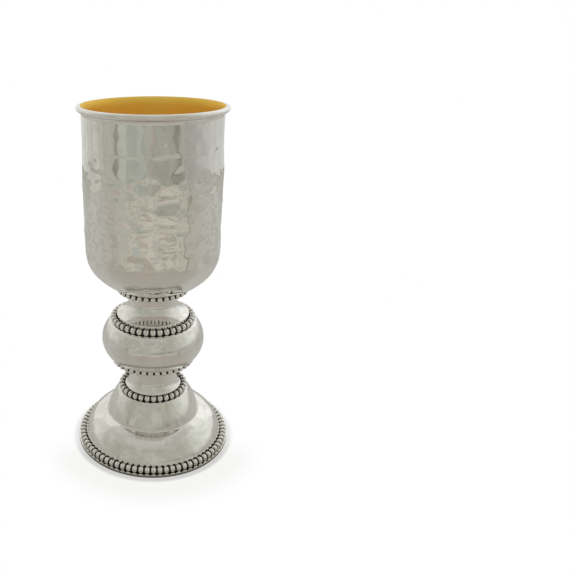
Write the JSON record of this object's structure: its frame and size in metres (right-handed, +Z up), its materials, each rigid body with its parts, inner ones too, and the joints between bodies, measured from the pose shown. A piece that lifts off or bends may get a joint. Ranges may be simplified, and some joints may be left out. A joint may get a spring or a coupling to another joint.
{
  "type": "kiddush cup",
  "caption": "Stemmed silver ceremonial wine cup: hammered straight-sided bowl gilt inside, round knop, stepped domed foot, beaded wire trim.",
  "frame": {"origin": "centre of the foot's underside, on the surface that the cup stands on", "axes": "+Z up along the cup's axis, -Y towards the front"},
  "size_m": [0.0742, 0.0742, 0.16],
  "materials": {
    "hammered_silver": "planished silver with soft shallow hammer facets, polished; the inside is matt yellow gilt",
    "polished_silver": "polished silver, faintly uneven from hand finishing, darkened in the grooves",
    "beaded_silver": "satin silver beads with black oxidised gaps"
  },
  "bodies": {
    "root": {"bowl": "hammered_silver", "bowl_beaded_ring": "beaded_silver", "upper_stem": "polished_silver", "knop_upper_beaded_ring": "beaded_silver", "knop": "polished_silver", "knop_lower_beaded_ring": "beaded_silver", "lower_stem": "polished_silver", "foot_upper_beaded_ring": "beaded_silver", "foot": "polished_silver", "foot_rim_beaded_ring": "beaded_silver"}
  },
  "joints": []
}
